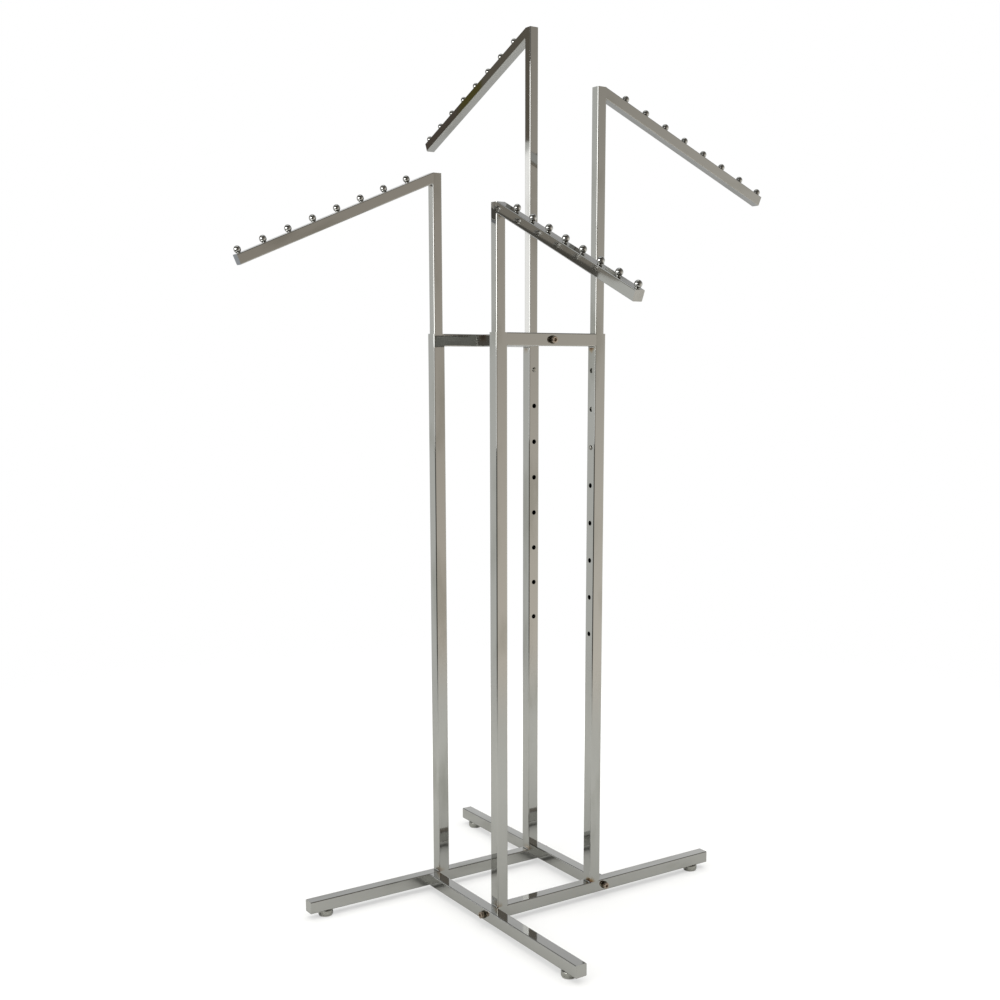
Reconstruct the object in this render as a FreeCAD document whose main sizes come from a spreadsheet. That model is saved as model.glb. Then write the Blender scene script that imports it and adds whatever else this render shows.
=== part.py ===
import FreeCAD, Part
import os
from math import radians

import Sketcher
from FreeCAD import Placement, Rotation, Vector

# Four way clothing rack: a pinwheel base of square tube, four uprights in two welded frames,
# and four slanted arms that telescope in the uprights and lock with snap buttons.
# Millimetres and degrees. The rack's axis is Z and the floor is Z = 0. Each side of the rack is
# modelled in the same side frame, with X outward, and turned about Z into its place.

doc = FreeCAD.newDocument("four_way_clothing_rack")
sheet = doc.addObject("Spreadsheet::Sheet", "sizes")

DRIVING = (
    ("tube_side", 25),            # outer tube: uprights, rails and base bars
    ("tube_wall", 1.5),
    ("tube_round", 2),
    ("stem_side", 20),            # inner tube: telescoping stems and slanted arms
    ("stem_wall", 1.5),
    ("stem_round", 1.8),
    ("post_spacing", 232),        # between the axes of neighbouring uprights
    ("leg_reach", 430),           # rack axis to a leg's end
    ("ride_height", 13),          # floor to the underside of the base bars
    ("post_length", 1140),
    ("snap_pitch", 76.2),
    ("snap_drop", 72),            # top of an upright to its first hole
    ("snap_count", 8),
    ("snap_hole", 10),
    ("stem_length", 762),
    ("button_drop", 690),         # top of a stem to its snap button
    ("button_hole", 9.6),
    ("button_dia", 9.2),
    ("button_proud", 2.6),        # past the outer face of the upright
    ("button_gap", 0.1),          # flange to the inner face of the stem
    ("flange_dia", 12),
    ("flange_thick", 1.4),
    ("button_round", 2.4),
    ("clip_thick", 0.6),
    ("clip_width", 10),
    ("clip_foot", 16),            # the strip's five points, above or below the button's axis
    ("clip_shoulder", 26),
    ("clip_bend", 30),
    ("clip_knee", 9),
    ("clip_tail", 8),
    ("clip_lean", 3),             # bend to the strip's long leg
    ("arm_length", 450),          # along the top of the slanted arm
    ("arm_slope", 23),            # below the horizontal
    ("ball_dia", 14),
    ("ball_pitch", 55),
    ("ball_count", 8),
    ("ball_lift", 6.6),           # ball's centre above the arm's top face
    ("ball_inset", 8.5),          # last ball's centre to the arm's end
    ("neck_dia", 8),
    ("plate_thick", 1.5),         # plates that close the tube ends
    ("plate_gap", 0.05),
    ("plate_round", 0.6),
    ("sleeve_length", 20),
    ("sleeve_gap", 0.05),         # stem in its guide sleeve, on each side
    ("screw_dia", 8),
    ("screw_length", 36),
    ("head_dia", 13),
    ("head_tall", 8),
    ("head_edge", 0.8),
    ("socket_flats", 6),
    ("socket_deep", 4),
    ("screw_hole", 8.6),
    ("tapped_dia", 8.1),
    ("tapped_long", 12),
    ("washer_dia", 16),
    ("washer_thick", 1.6),
    ("glide_inset", 38),          # leg's end to the axis of its levelling glide
    ("cup_dia", 30),
    ("cup_round", 2),
    ("sole_dia", 27),
    ("sole_tall", 4),
    ("sole_proud", 2),            # sole below the rim of its cup
    ("stud_sunk", 5),             # stud into the top of its cup
    ("stud_rise", 18),            # end of the stud above the underside of the bar
    ("stud_hole", 9),
    ("nut_flats", 13),
    ("nut_tall", 6.5),
)
for row, (alias, value) in enumerate(DRIVING, start=1):
    sheet.set(f"A{row}", alias)
    sheet.set(f"B{row}", str(value))
    sheet.setAlias(f"B{row}", alias)
doc.recompute()

# the direction that each side's local X points to, about Z
SIDES = {"left": -90, "front": 0, "right": 90, "back": 180}
# the left and right bars are welded to the uprights; the front and back ones are screwed on
WELDED = ("left", "right")
LOOSE = ("front", "back")
# the snap hole that each arm is locked in, counted down from the top
LOCKED_IN = {"left": 5, "front": 6, "right": 3, "back": 1}

# turns that take a piece's own Z to the side frame's X, -X or Y
ALONG_X = Rotation(Vector(0, 1, 0), 90)
AGAINST_X = Rotation(Vector(0, 1, 0), -90)
ALONG_Y = Rotation(Vector(1, 0, 0), -90)
UPRIGHT = Rotation()

# lengths in the side frame, as expressions in the sheet's cells
POST = "sizes.post_spacing / 2"
HALF = "sizes.tube_side / 2"
BAR_TOP = "(sizes.ride_height + sizes.tube_side)"
BAR_MIDDLE = "(sizes.ride_height + sizes.tube_side / 2)"
RACK_TOP = "(sizes.ride_height + sizes.tube_side + sizes.post_length)"
RAIL_MIDDLE = f"({RACK_TOP} - {HALF})"
TUBE_BORE = "(sizes.tube_side - 2 * sizes.tube_wall)"
STEM_BORE = "(sizes.stem_side - 2 * sizes.stem_wall)"

TOUCHING = 0.01                   # points nearer than this are at one height

nodes = {}


def size(alias):
    """The value of a cell of the sheet."""
    return float(getattr(sheet, alias))


def place(piece, side, turn, x="0", y="0", z="0"):
    """Put a piece at a point of a side's frame, given by expressions, turned from its own frame."""
    outward = Rotation(Vector(0, 0, 1), SIDES[side])
    piece.Placement = Placement(Vector(), outward * turn)
    heading = outward.multVec(Vector(1, 0, 0))
    across, along = round(heading.x), round(heading.y)
    piece.setExpression("Placement.Base.x", f"{across} * ({x}) - {along} * ({y})")
    piece.setExpression("Placement.Base.y", f"{along} * ({x}) + {across} * ({y})")
    piece.setExpression("Placement.Base.z", z)


def keep(label, piece):
    """Take a piece as the sub-part of that name."""
    piece.Label = label
    nodes[label] = piece


def group(label, pieces):
    """One sub-part of several separate solids."""
    compound = doc.addObject("Part::Compound", label)
    compound.Links = pieces
    keep(label, compound)


# ---- sketches ----

def new_body(name):
    body = doc.addObject("PartDesign::Body", name)
    body.AllowCompound = True
    return body


def new_sketch(body, role="XY_Plane", lift=None):
    """A sketch on one of the body's own origin planes, lifted off it by an expression."""
    sketch = body.newObject("Sketcher::SketchObject", body.Name + "_sketch")
    plane = next(f for f in body.Origin.OriginFeatures if f.Role == role)
    sketch.AttachmentSupport = (plane, [""])
    sketch.MapMode = "FlatFace"
    if lift:
        sketch.setExpression("AttachmentOffset.Base.z", lift)
    return sketch


def constrain(sketch, kind, *what, bound=None):
    """Add a constraint; a bound one is a dimension that follows an expression."""
    at = sketch.addConstraint(Sketcher.Constraint(kind, *what))
    if bound:
        sketch.renameConstraint(at, f"size_{at}")
        sketch.setExpression(f"Constraints.size_{at}", bound)


def draw_square(sketch, side, corner):
    """A square with round corners, centred on the sketch's origin. Start sizes are only a guess."""
    half, radius = 10.0, 1.0
    flat = half - radius
    first = sketch.GeometryCount
    for quarter in range(4):
        turn = Rotation(Vector(0, 0, 1), 90 * quarter)
        start, end = Vector(-flat, -half, 0), Vector(flat, -half, 0)
        sketch.addGeometry(Part.LineSegment(turn.multVec(start), turn.multVec(end)))
        centre = turn.multVec(Vector(flat, -flat, 0))
        circle = Part.Circle(centre, Vector(0, 0, 1), radius)
        sketch.addGeometry(Part.ArcOfCircle(circle, radians(90 * quarter - 90), radians(90 * quarter)))
    bottom, right, top, left = (first + 2 * quarter for quarter in range(4))
    for line in (bottom, right, top, left):
        arc = line + 1
        following = first + (line - first + 2) % 8
        constrain(sketch, "Tangent", line, 2, arc, 1)
        constrain(sketch, "Tangent", arc, 2, following, 1)
    constrain(sketch, "Horizontal", top)
    constrain(sketch, "Vertical", left)
    constrain(sketch, "Symmetric", bottom, 1, bottom, 2, -2)
    constrain(sketch, "Symmetric", right, 1, right, 2, -1)
    for arc in (right + 1, top + 1, left + 1):
        constrain(sketch, "Equal", bottom + 1, arc)
    constrain(sketch, "Radius", bottom + 1, radius, bound=corner)
    constrain(sketch, "DistanceX", left, 1, right, 1, 2 * half, bound=side)
    constrain(sketch, "DistanceY", bottom, 1, top, 1, 2 * half, bound=side)


def draw_circle(sketch, dia, up=None):
    """A circle on the sketch's vertical axis, at a height given by an expression."""
    centre = Vector(0, 10 if up else 0, 0)
    circle = sketch.addGeometry(Part.Circle(centre, Vector(0, 0, 1), 4))
    constrain(sketch, "Diameter", circle, 8, bound=dia)
    if up:
        constrain(sketch, "PointOnObject", circle, 3, -2)
        constrain(sketch, "DistanceY", -1, 1, circle, 3, 10, bound=up)
    else:
        constrain(sketch, "Coincident", circle, 3, -1, 1)


# ---- solid features ----

def pad(body, sketch, length, middle=False):
    feature = body.newObject("PartDesign::Pad", body.Name + "_pad")
    feature.Profile = sketch
    feature.setExpression("Length", length)
    feature.Midplane = middle
    doc.recompute()
    return feature


def pocket(body, sketch, length, middle=False, flip=False):
    """Cut a sketch out of the body, to a length on the far side of its normal or on both sides."""
    before = body.Shape.Volume
    feature = body.newObject("PartDesign::Pocket", body.Name + "_pocket")
    feature.Profile = sketch
    feature.setExpression("Length", length)
    feature.Midplane = middle
    feature.Reversed = flip
    doc.recompute()
    if not body.Shape.Volume < before:
        raise ValueError(f"{feature.Name} cuts nothing")
    return feature


def pattern(body, feature, role, length, count):
    """Repeat a feature along one of the body's own axes."""
    repeat = body.newObject("PartDesign::LinearPattern", body.Name + "_pattern")
    repeat.Originals = [feature]
    repeat.Direction = (next(f for f in body.Origin.OriginFeatures if f.Role == role), [""])
    repeat.setExpression("Length", length)
    repeat.setExpression("Occurrences", count)
    body.Tip = repeat
    doc.recompute()


def round_edges(body, radius, picks):
    """Round the edges of the body's last feature that a test picks."""
    base = body.Tip
    names = [f"Edge{at}" for at, edge in enumerate(base.Shape.Edges, start=1) if picks(edge)]
    feature = body.newObject("PartDesign::Fillet", body.Name + "_fillet")
    feature.Base = (base, names)
    feature.setExpression("Radius", radius)
    doc.recompute()


def square_tube(name, side, bore, corner, inner_corner, length):
    """A square tube that stands on its own XY plane, about its own Z axis."""
    body = new_body(name)
    sketch = new_sketch(body)
    draw_square(sketch, side, corner)
    draw_square(sketch, bore, inner_corner)
    pad(body, sketch, length)
    return body


def frame_tube(name, length):
    return square_tube(
        name, "sizes.tube_side", TUBE_BORE, "sizes.tube_round", "sizes.tube_round - sizes.tube_wall", length
    )


def square_plate(name, side, thick):
    """A plate that closes a tube's end, with a small gap all round."""
    body = new_body(name)
    sketch = new_sketch(body)
    draw_square(sketch, f"{side} - 2 * sizes.plate_gap", "sizes.plate_round")
    pad(body, sketch, thick)
    return body


def primitive(kind, name, up="0", **sizes):
    """A Part primitive with its sizes bound, lifted along Z."""
    piece = doc.addObject(f"Part::{kind}", name)
    for key, text in sizes.items():
        piece.setExpression(key, text)
    piece.setExpression("Placement.Base.z", up)
    return piece


def cut(name, base, tool):
    piece = doc.addObject("Part::Cut", name)
    piece.Base = base
    piece.Tool = tool
    return piece


def fuse(name, *pieces):
    piece = doc.addObject("Part::MultiFuse", name)
    piece.Shapes = list(pieces)
    return piece


# ---- the frame: uprights, rails and base bars ----

def make_post(side):
    """An upright with its column of snap holes in the inward wall."""
    body = frame_tube(f"post_{side}", "sizes.post_length")
    holes = new_sketch(body, "YZ_Plane")
    lowest = "sizes.post_length - sizes.snap_drop - sizes.snap_pitch * (sizes.snap_count - 1)"
    draw_circle(holes, "sizes.snap_hole", lowest)
    hole = pocket(body, holes, "sizes.tube_side")
    pattern(body, hole, "Z_Axis", "sizes.snap_pitch * (sizes.snap_count - 1)", "sizes.snap_count")
    place(body, side, UPRIGHT, POST, f"-{POST}", BAR_TOP)
    keep(f"upright_{side}", body)


def bar_start(side):
    """Where a base bar starts: against the inner face of the bar that it is screwed to."""
    return f"(-{POST} - {HALF})" if side in WELDED else f"(-{POST} + {HALF})"


def bar_line(side):
    """How far a base bar's axis stands to the side of the rack's axis."""
    return f"-{POST}" if side in WELDED else f"(-{POST} - sizes.tube_side)"


def make_bar(side):
    """A base bar: a stud hole under its leg, and a screw hole where the next bar starts."""
    start = bar_start(side)
    body = frame_tube(f"bar_{side}", f"sizes.leg_reach - {start}")
    stud = new_sketch(body, "YZ_Plane")
    draw_circle(stud, "sizes.stud_hole", f"sizes.leg_reach - sizes.glide_inset - {start}")
    pocket(body, stud, "sizes.tube_side", flip=True)
    screw = new_sketch(body, "XZ_Plane")
    crossing = f"{POST} + sizes.tube_side" if side in WELDED else POST
    draw_circle(screw, "sizes.screw_hole", f"{crossing} - {start}")
    pocket(body, screw, "2 * sizes.tube_side", middle=True)
    place(body, side, ALONG_X, start, bar_line(side), BAR_MIDDLE)
    keep(f"base_bar_{side}", body)


def make_rail(side):
    """The top rail between the two uprights of a welded frame, with a screw hole in the middle."""
    length = "(sizes.post_spacing - sizes.tube_side)"
    body = frame_tube(f"rail_{side}", length)
    screw = new_sketch(body, "YZ_Plane")
    draw_circle(screw, "sizes.screw_hole", f"{length} / 2")
    pocket(body, screw, "2 * sizes.tube_side", middle=True)
    place(body, side, ALONG_Y, POST, f"-{length} / 2", RAIL_MIDDLE)
    keep(f"top_rail_{side}", body)


def make_crossbar():
    """The crossbar that joins the two top rails."""
    body = frame_tube("crossbar", "sizes.post_spacing - sizes.tube_side")
    place(body, "front", ALONG_X, f"-{POST} + {HALF}", "0", RAIL_MIDDLE)
    keep("top_crossbar", body)


def make_sleeve(side):
    """A nylon guide in the mouth of an upright, in which the stem slides."""
    bore = "sizes.stem_side + 2 * sizes.sleeve_gap"
    corner, inner_corner = "sizes.plate_round", "sizes.stem_round"
    body = square_tube(f"sleeve_{side}", TUBE_BORE, bore, corner, inner_corner, "sizes.sleeve_length")
    place(body, side, UPRIGHT, POST, f"-{POST}", f"{RACK_TOP} - sizes.sleeve_length")
    return body


# ---- screws, washers and the pieces that they screw into ----

def make_screw(name):
    """A socket head screw about its own Z, its head's underside at Z = 0."""
    chamfer = primitive(
        "Cone", f"{name}_edge", up="-sizes.head_tall",
        Radius1="sizes.head_dia / 2 - sizes.head_edge", Radius2="sizes.head_dia / 2",
        Height="sizes.head_edge",
    )
    head = primitive(
        "Cylinder", f"{name}_head", up="sizes.head_edge - sizes.head_tall",
        Radius="sizes.head_dia / 2", Height="sizes.head_tall - sizes.head_edge",
    )
    shank = primitive("Cylinder", f"{name}_shank", Radius="sizes.screw_dia / 2", Height="sizes.screw_length")
    socket = primitive(
        "Prism", f"{name}_socket", up="-sizes.head_tall",
        Circumradius="sizes.socket_flats / 2 / cos(30)", Height="sizes.socket_deep",
    )
    return cut(name, fuse(f"{name}_solid", chamfer, head, shank), socket)


def make_washer(name):
    """A washer about its own Z, on the underside of a screw's head."""
    disc = primitive("Cylinder", f"{name}_disc", Radius="sizes.washer_dia / 2", Height="sizes.washer_thick")
    hole = primitive("Cylinder", f"{name}_hole", Radius="sizes.screw_hole / 2", Height="sizes.washer_thick")
    return cut(name, disc, hole)


def make_tapped_plug(name):
    """A block welded into the start of a bar, tapped for its screw. It runs up its own Z."""
    body = square_plate(name, TUBE_BORE, "sizes.tapped_long")
    hole = new_sketch(body)
    draw_circle(hole, "sizes.tapped_dia")
    pocket(body, hole, "sizes.tapped_long", flip=True)
    return body


def make_joint(name, side, turn, face, y, z):
    """A screw and its washer on a tube's outer face, and the plug behind that tube."""
    screw = make_screw(f"screw_{name}")
    washer = make_washer(f"washer_{name}")
    plug = make_tapped_plug(f"plug_{name}")
    outward = "-1" if turn is ALONG_X else "1"
    head = f"{face} + {outward} * sizes.washer_thick"
    behind = f"{face} - {outward} * sizes.tube_side"
    place(screw, side, turn, head, y, z)
    place(washer, side, turn, head, y, z)
    place(plug, side, turn, behind, y, z)
    return screw, washer, plug


def make_fasteners():
    """Four screws where the base bars meet, two through the top rails into the crossbar."""
    joints = []
    for side in SIDES:
        face = f"{bar_start(side)} - sizes.tube_side"
        joints.append(make_joint(f"base_{side}", side, ALONG_X, face, bar_line(side), BAR_MIDDLE))
    for side in LOOSE:
        joints.append(make_joint(f"top_{side}", side, AGAINST_X, f"{POST} + {HALF}", "0", RAIL_MIDDLE))
    screws, washers, plugs = zip(*joints)
    group("cap_screws", screws)
    group("washers", washers)
    group("tapped_plugs", plugs)


def make_leg_end(side):
    """The plate that closes a leg, flush with the tube."""
    body = square_plate(f"leg_end_{side}", TUBE_BORE, "sizes.plate_thick")
    place(body, side, ALONG_X, "sizes.leg_reach - sizes.plate_thick", bar_line(side), BAR_MIDDLE)
    return body


# ---- levelling glides ----

GLIDE_X = "sizes.leg_reach - sizes.glide_inset"


def make_nut(side):
    """The nut welded inside a leg, on its bottom wall, for the stud of the glide."""
    hexagon = primitive(
        "Prism", f"nut_{side}_hex", Circumradius="sizes.nut_flats / 2 / cos(30)", Height="sizes.nut_tall"
    )
    hole = primitive("Cylinder", f"nut_{side}_hole", Radius="sizes.tapped_dia / 2", Height="sizes.nut_tall")
    nut = cut(f"nut_{side}", hexagon, hole)
    place(nut, side, UPRIGHT, GLIDE_X, bar_line(side), "sizes.ride_height + sizes.tube_wall")
    return nut


def make_glide(side):
    """A steel cup with a nylon sole under it, on a threaded stud."""
    line = bar_line(side)
    cup = new_body(f"cup_{side}")
    disc = new_sketch(cup)
    draw_circle(disc, "sizes.cup_dia")
    pad(cup, disc, "sizes.ride_height - sizes.sole_proud")
    round_edges(cup, "sizes.cup_round", lambda edge: len(edge.Vertexes) == 1)
    recess = new_sketch(cup)
    draw_circle(recess, "sizes.sole_dia")
    pocket(cup, recess, "sizes.sole_tall - sizes.sole_proud", flip=True)
    socket = new_sketch(cup, lift="sizes.ride_height - sizes.sole_proud")
    draw_circle(socket, "sizes.screw_dia")
    pocket(cup, socket, "sizes.stud_sunk")
    place(cup, side, UPRIGHT, GLIDE_X, line, "sizes.sole_proud")
    keep(f"glide_cup_{side}", cup)

    sole = doc.addObject("Part::Cylinder", f"sole_{side}")
    sole.setExpression("Radius", "sizes.sole_dia / 2")
    sole.setExpression("Height", "sizes.sole_tall")
    place(sole, side, UPRIGHT, GLIDE_X, line, "0")
    keep(f"glide_sole_{side}", sole)

    stud = doc.addObject("Part::Cylinder", f"stud_{side}")
    stud.setExpression("Radius", "sizes.screw_dia / 2")
    stud.setExpression("Height", "sizes.stud_sunk + sizes.stud_rise")
    place(stud, side, UPRIGHT, GLIDE_X, line, "sizes.ride_height - sizes.stud_sunk")
    keep(f"glide_stud_{side}", stud)


# ---- arms: stem, slanted tube, balls and snap button ----

def button_height(side):
    """The height of the snap hole that an arm is locked in."""
    return f"({RACK_TOP} - sizes.snap_drop - sizes.snap_pitch * {LOCKED_IN[side] - 1})"


def stem_top(side):
    return f"({button_height(side)} + sizes.button_drop)"


def make_stem(side):
    """The tube that telescopes in the upright, with one hole for its snap button."""
    body = square_tube(
        f"stem_{side}", "sizes.stem_side", STEM_BORE, "sizes.stem_round",
        "sizes.stem_round - sizes.stem_wall", "sizes.stem_length",
    )
    hole = new_sketch(body, "YZ_Plane")
    draw_circle(hole, "sizes.button_hole", "sizes.stem_length - sizes.button_drop")
    pocket(body, hole, "sizes.stem_side")
    place(body, side, UPRIGHT, POST, f"-{POST}", f"{stem_top(side)} - sizes.stem_length")
    keep(f"arm_stem_{side}", body)


def draw_slant(sketch, drop, length, deep):
    """The outline of a slanted bar seen from the side: upright where it starts, square at its end."""
    points = [Vector(0, -1, 0), Vector(90, -40, 0), Vector(82, -58, 0), Vector(0, -22, 0)]
    for at in range(4):
        sketch.addGeometry(Part.LineSegment(points[at], points[(at + 1) % 4]))
    top, end, bottom, start = range(4)
    for at in range(4):
        constrain(sketch, "Coincident", at, 2, (at + 1) % 4, 1)
    constrain(sketch, "PointOnObject", top, 1, -2)
    constrain(sketch, "Vertical", start)
    constrain(sketch, "Parallel", top, bottom)
    constrain(sketch, "Perpendicular", top, end)
    constrain(sketch, "DistanceY", top, 1, -1, 1, 1, bound=drop)
    constrain(sketch, "Distance", top, 98, bound=length)
    constrain(sketch, "Distance", end, 20, bound=deep)
    constrain(sketch, "Angle", top, radians(-24), bound="-sizes.arm_slope")


def make_slant(side):
    """The slanted tube, butted against the outward face of the stem and level with its top."""
    body = new_body(f"slant_{side}")
    outline = new_sketch(body, "XZ_Plane")
    draw_slant(outline, "0", "sizes.arm_length", "sizes.stem_side")
    pad(body, outline, "sizes.stem_side", middle=True)
    shortest = size("arm_length") - size("stem_side")
    round_edges(body, "sizes.stem_round", lambda edge: edge.Length > shortest)
    hollow = new_sketch(body, "XZ_Plane")
    beyond = "sizes.arm_length + sizes.stem_side"
    draw_slant(hollow, "sizes.stem_wall / cos(sizes.arm_slope)", beyond, STEM_BORE)
    pocket(body, hollow, STEM_BORE, middle=True)
    place(body, side, UPRIGHT, f"{POST} + sizes.stem_side / 2", f"-{POST}", stem_top(side))
    keep(f"arm_tube_{side}", body)


def along_arm(side, reach, lift):
    """A point of the side frame, measured along the arm's top face and square out of it."""
    slope = "sizes.arm_slope"
    x = f"{POST} + sizes.stem_side / 2 + ({reach}) * cos({slope}) + ({lift}) * sin({slope})"
    z = f"{stem_top(side)} - ({reach}) * sin({slope}) + ({lift}) * cos({slope})"
    return x, f"-{POST}", z


def make_balls(side):
    """The row of balls on their short necks, welded to the top of the slanted tube."""
    body = new_body(f"balls_{side}")
    profile = new_sketch(body, "XZ_Plane")
    profile.addGeometry(Part.LineSegment(Vector(0, 0, 0), Vector(4, 0, 0)))
    profile.addGeometry(Part.LineSegment(Vector(4, 0, 0), Vector(4, 1, 0)))
    circle = Part.Circle(Vector(0, 7, 0), Vector(0, 0, 1), 7)
    profile.addGeometry(Part.ArcOfCircle(circle, radians(-60), radians(90)))
    profile.addGeometry(Part.LineSegment(Vector(0, 14, 0), Vector(0, 0, 0)))
    base, neck, ball, axis = range(4)
    constrain(profile, "Coincident", base, 1, -1, 1)
    for at in range(4):
        constrain(profile, "Coincident", at, 2, (at + 1) % 4, 1)
    constrain(profile, "Horizontal", base)
    constrain(profile, "Vertical", neck)
    constrain(profile, "Vertical", axis)
    constrain(profile, "PointOnObject", ball, 3, -2)
    constrain(profile, "DistanceX", base, 1, base, 2, 4, bound="sizes.neck_dia / 2")
    constrain(profile, "Radius", ball, 8, bound="sizes.ball_dia / 2")
    constrain(profile, "DistanceY", -1, 1, ball, 3, 7, bound="sizes.ball_lift")
    turned = body.newObject("PartDesign::Revolution", body.Name + "_turned")
    turned.Profile = profile
    turned.ReferenceAxis = (profile, ["V_Axis"])
    turned.Angle = 360
    doc.recompute()
    row = "sizes.ball_pitch * (sizes.ball_count - 1)"
    pattern(body, turned, "X_Axis", row, "sizes.ball_count")
    first = f"sizes.arm_length - sizes.ball_inset - {row}"
    tilt = Rotation(Vector(0, 1, 0), size("arm_slope"))
    place(body, side, tilt, *along_arm(side, first, "0"))
    keep(f"arm_balls_{side}", body)


def make_arm_plates(side):
    """The plates that close the top of the stem and the end of the slanted tube."""
    top = square_plate(f"top_plate_{side}", STEM_BORE, "sizes.plate_thick")
    place(top, side, UPRIGHT, POST, f"-{POST}", f"{stem_top(side)} - sizes.plate_thick")
    end = square_plate(f"end_plate_{side}", STEM_BORE, "sizes.plate_thick")
    tilt = Rotation(Vector(0, 1, 0), 90 + size("arm_slope"))
    place(end, side, tilt, *along_arm(side, "sizes.arm_length - sizes.plate_thick", "-sizes.stem_side / 2"))
    group(f"arm_plates_{side}", [top, end])


def make_button(side):
    """The snap button: a flange inside the stem and a round nose through both walls."""
    body = new_body(f"button_{side}")
    flange = new_sketch(body)
    draw_circle(flange, "sizes.flange_dia")
    pad(body, flange, "sizes.flange_thick")
    nose = new_sketch(body)
    draw_circle(nose, "sizes.button_dia")
    inner_face = "(sizes.stem_side / 2 - sizes.stem_wall - sizes.button_gap - sizes.flange_thick)"
    nose_length = f"{HALF} + sizes.button_proud - {inner_face}"
    pad(body, nose, nose_length)
    tip = max(vertex.Z for vertex in body.Shape.Vertexes) - TOUCHING
    round_edges(body, "sizes.button_round", lambda edge: edge.BoundBox.ZMin > tip)
    place(body, side, AGAINST_X, f"{POST} - {inner_face}", f"-{POST}", button_height(side))
    keep(f"snap_button_{side}", body)


def make_clip(side):
    """The spring strip inside the stem: one leg on the outward wall, a bend, one behind the button."""
    thick = size("clip_thick")
    bore = size("stem_side") / 2 - size("stem_wall")
    wall_leg = bore - thick
    button_leg = thick - bore + size("flange_thick") + size("button_gap")
    line = [
        Vector(wall_leg, 0, -size("clip_foot")),
        Vector(wall_leg, 0, size("clip_shoulder")),
        Vector(wall_leg - size("clip_lean"), 0, size("clip_bend")),
        Vector(button_leg, 0, size("clip_knee")),
        Vector(button_leg, 0, -size("clip_tail")),
    ]
    strip = Part.makePolygon(line).makeOffset2D(thick / 2, fill=True, openResult=False, join=0)
    width = size("clip_width")
    strip.translate(Vector(0, -width / 2, 0))
    clip = doc.addObject("Part::Feature", f"clip_{side}")
    clip.Shape = strip.extrude(Vector(0, width, 0))
    place(clip, side, UPRIGHT, POST, f"-{POST}", button_height(side))
    keep(f"spring_clip_{side}", clip)


for side in SIDES:
    make_post(side)
    make_bar(side)
    make_glide(side)
    make_stem(side)
    make_slant(side)
    make_balls(side)
    make_arm_plates(side)
    make_button(side)
    make_clip(side)
for side in LOOSE:
    make_rail(side)
make_crossbar()
make_fasteners()
group("guide_sleeves", [make_sleeve(side) for side in SIDES])
group("leg_end_plates", [make_leg_end(side) for side in SIDES])
group("glide_nuts", [make_nut(side) for side in SIDES])
doc.recompute()

for piece in doc.Objects:
    if {"Invalid", "Error"} & set(piece.State):
        raise ValueError(f"{piece.Name} is {piece.State}")
for label, piece in nodes.items():
    if piece.Shape.isNull() or not piece.Shape.isValid():
        raise ValueError(f"{label} has no valid shape")

os.makedirs("parts", exist_ok=True)
for label, piece in nodes.items():
    piece.Shape.exportStep(f"parts/{label}.step")
    solids, box = len(piece.Shape.Solids), piece.Shape.BoundBox
    print(f"{label}: {solids} solids, {box.XMin:.1f} {box.YMin:.1f} {box.ZMin:.1f} to "
          f"{box.XMax:.1f} {box.YMax:.1f} {box.ZMax:.1f}, {piece.Shape.Volume / 1000:.2f} cm3")
print(len(nodes), "sub-parts")
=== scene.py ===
"""Looks of the four way clothing rack: chrome plate, welds, knurled screws and the studio around it."""

from math import atan2, cos, pi, radians, sin, tau

import bmesh
import bpy
from mathutils import Matrix, Vector


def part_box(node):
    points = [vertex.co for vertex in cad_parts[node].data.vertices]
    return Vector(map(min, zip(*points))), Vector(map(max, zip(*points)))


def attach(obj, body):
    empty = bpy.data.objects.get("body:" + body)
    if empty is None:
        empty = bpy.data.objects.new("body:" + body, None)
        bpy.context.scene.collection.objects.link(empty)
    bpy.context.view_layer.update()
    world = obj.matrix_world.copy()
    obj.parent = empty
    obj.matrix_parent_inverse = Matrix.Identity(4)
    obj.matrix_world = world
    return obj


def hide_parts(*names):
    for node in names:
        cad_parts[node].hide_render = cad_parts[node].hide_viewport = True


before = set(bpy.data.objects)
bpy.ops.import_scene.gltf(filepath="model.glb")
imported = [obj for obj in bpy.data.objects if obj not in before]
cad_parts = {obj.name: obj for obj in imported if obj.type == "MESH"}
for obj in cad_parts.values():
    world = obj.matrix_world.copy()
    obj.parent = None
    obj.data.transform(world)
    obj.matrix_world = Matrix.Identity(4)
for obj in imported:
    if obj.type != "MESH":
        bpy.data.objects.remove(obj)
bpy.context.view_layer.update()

bl_info = {
    "name": "Four Way Clothing Rack Looks",
    "version": (1, 0, 0),
    "blender": (4, 5, 0),
    "location": "View3D > Sidebar > Rack",
    "description": "Finishes, welds, screws and studio for a chrome four way clothing rack",
    "category": "Object",
}

MM = 0.001
SIDES = ("left", "front", "right", "back")
OUTWARD = {
    "left": Vector((0, -1, 0)),
    "front": Vector((1, 0, 0)),
    "right": Vector((0, 1, 0)),
    "back": Vector((-1, 0, 0)),
}
UP = Vector((0, 0, 1))


# ---- settings ----

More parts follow.
